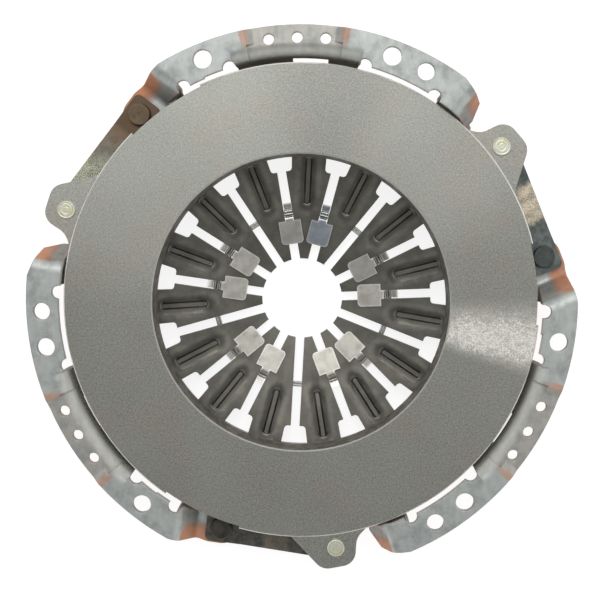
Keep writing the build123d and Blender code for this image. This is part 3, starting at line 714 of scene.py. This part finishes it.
def heading(angle):
    """Direction of length 1 at an angle."""
    return polar(1 / MM, angle)


def finger_slice(middle):
    """The spring between two slots."""
    mesh = mesh_of("diaphragm_spring")
    for side in (-1, 1):
        slice_off(mesh, CENTRE, heading(middle + side * (QUARTER_TURN + PITCH / 2)))
    # the planes also keep the far side of the spring, so that is cut away at the axis
    slice_off(mesh, CENTRE, -heading(middle))
    return mesh


print("a slice spans", PITCH, "degrees")

# %% Inner and outer half of every slice
LEVER_ROWS, RIM_ROWS = 6, 3
for finger in range(FINGERS):
    middle = SLOT_ANGLE + PITCH * (finger + 0.5)
    outward = heading(middle)
    fulcrum, rim, tie = [polar(r, middle) for r in (FULCRUM_RADIUS, SPRING_RIM_RADIUS, TIE_RADIUS)]
    lever = finger_slice(middle)
    shoulder = lever.copy()
    slice_off(lever, fulcrum, outward)
    add_rows(lever, fulcrum, tie, LEVER_ROWS)
    piece = new_piece(lever, f"spring_finger_{finger + 1:02d}", spring_steel)
    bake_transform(piece)
    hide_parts("diaphragm_spring")
    slice_off(shoulder, fulcrum, -outward)
    add_rows(shoulder, fulcrum, rim, RIM_ROWS)
    piece = new_piece(shoulder, f"spring_rim_{finger + 1:02d}", spring_steel)
    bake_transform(piece)
print("spring slices", 2 * FINGERS)

# %% [markdown]
# ## Floor and background
#
# The clutch lies on a plain white table. A white floor that only reflects light renders light grey, so
# part of what the camera sees of it is a plain white emission, and the rest is the lit floor, which
# keeps the shadow. Metal sees the same white, but no light comes from it.

# %% Finish of the table
WHITE = (1.0, 1.0, 1.0, 1.0)
PLAIN_WHITE_STRENGTH = 1.4
PLAIN_WHITE_SHARE = 0.6


def floor_finish():
    floor = Finish("white_table", {"Base Color": (0.92, 0.92, 0.92, 1.0), "Roughness": 0.9})
    white = floor.node("Emission", sockets={"Color": WHITE, "Strength": PLAIN_WHITE_STRENGTH})
    shown = floor.node("MixShader", sockets={0: floor.seen() * PLAIN_WHITE_SHARE,
                                             1: Wire(floor, floor.shader.outputs[0]), 2: white})
    floor.tree.links.new(shown.socket, floor.tree.nodes["Material Output"].inputs["Surface"])
    return floor


table_white = floor_finish()
print(table_white.material.name, len(table_white.tree.nodes), "nodes")

# %% Table
FLOOR_HALF = 40.0
corners = [(x * FLOOR_HALF, y * FLOOR_HALF, floor_z) for x, y in ((-1, -1), (1, -1), (1, 1), (-1, 1))]
table = bpy.data.meshes.new("table")
table.from_pydata(corners, [], [(0, 1, 2, 3)])
table = bpy.data.objects.new("table", table)
bpy.context.scene.collection.objects.link(table)
dress(table, table_white)
print("floor", 2 * FLOOR_HALF, "m square")

# %% [markdown]
# ## Light
#
# Metal shows what it reflects, so the light is one broad softbox high on the far side, a weaker one on
# the right and an even white room. Rays that leave the clutch towards the far side find the softbox,
# and those that lean to the near side find only the room, which is why the near half is darker. Round
# the horizon the room looks as white as the table, so that a low view has no grey band above it.

# %% Softboxes
def softbox(name, place, size, watts):
    """A rectangular lamp of a size in metres that points at the clutch."""
    lamp = bpy.data.lights.new(name, "AREA")
    lamp.shape, lamp.size, lamp.size_y = "RECTANGLE", *size
    lamp.energy = watts
    holder = bpy.data.objects.new(name, lamp)
    holder.location = place
    holder.rotation_euler = (-Vector(place)).to_track_quat("-Z", "Y").to_euler()
    bpy.context.scene.collection.objects.link(holder)


softbox("far_softbox", place=(-0.05, 0.85, 1.4), size=(1.1, 0.9), watts=9.5)
softbox("right_softbox", place=(1.2, -0.2, 1.0), size=(0.8, 0.8), watts=1.5)
print("two softboxes")

# %% Room
ROOM_LIGHT = 0.46
# how steeply one looks up where the white of the horizon ends and where it starts
HORIZON_TOP = (0.5, 0.3)
world = bpy.data.worlds.new("room")
room = Nodes(world)
direction = room.node("TexCoord", output="Generated")
height = room.node("SeparateXYZ", sockets={0: direction}, output="Z")
strength = ROOM_LIGHT + room.seen() * height.rise(*HORIZON_TOP) * (1 - ROOM_LIGHT)
background = room.tree.nodes["Background"]
background.inputs["Color"].default_value = WHITE
room.tree.links.new(strength.socket, background.inputs["Strength"])
bpy.context.scene.world = world
bpy.context.scene.view_settings.view_transform = "Standard"
print("room", ROOM_LIGHT, "of white")

# %% [markdown]
# ## Camera
#
# The camera looks almost straight down, leaning back a little from the near side. Its lean and swing
# turn the clutch into the camera's own frame, so the camera's place is that turn undone.

# %% Camera over the clutch
LEAN, SWING = 5.0, -1.435
STAND_OFF = 575.0
OFFSET = (0.17, -2.14)
FOCAL_LENGTH = 70.84
SENSOR = 36.0

lens = bpy.data.cameras.new("camera")
lens.sensor_width, lens.lens = SENSOR, FOCAL_LENGTH
lens.clip_start, lens.clip_end = 0.05, 2.5 * FLOOR_HALF
camera = bpy.data.objects.new("camera", lens)
bpy.context.scene.collection.objects.link(camera)
to_camera = (Matrix.Translation(Vector((*OFFSET, -STAND_OFF)) * MM)
             @ Matrix.Rotation(radians(LEAN), 4, "X") @ Matrix.Rotation(radians(SWING), 4, "Y"))
camera.matrix_world = to_camera.inverted()
bpy.context.scene.camera = camera
print("camera at", [round(c / MM, 1) for c in camera.matrix_world.translation], "mm")
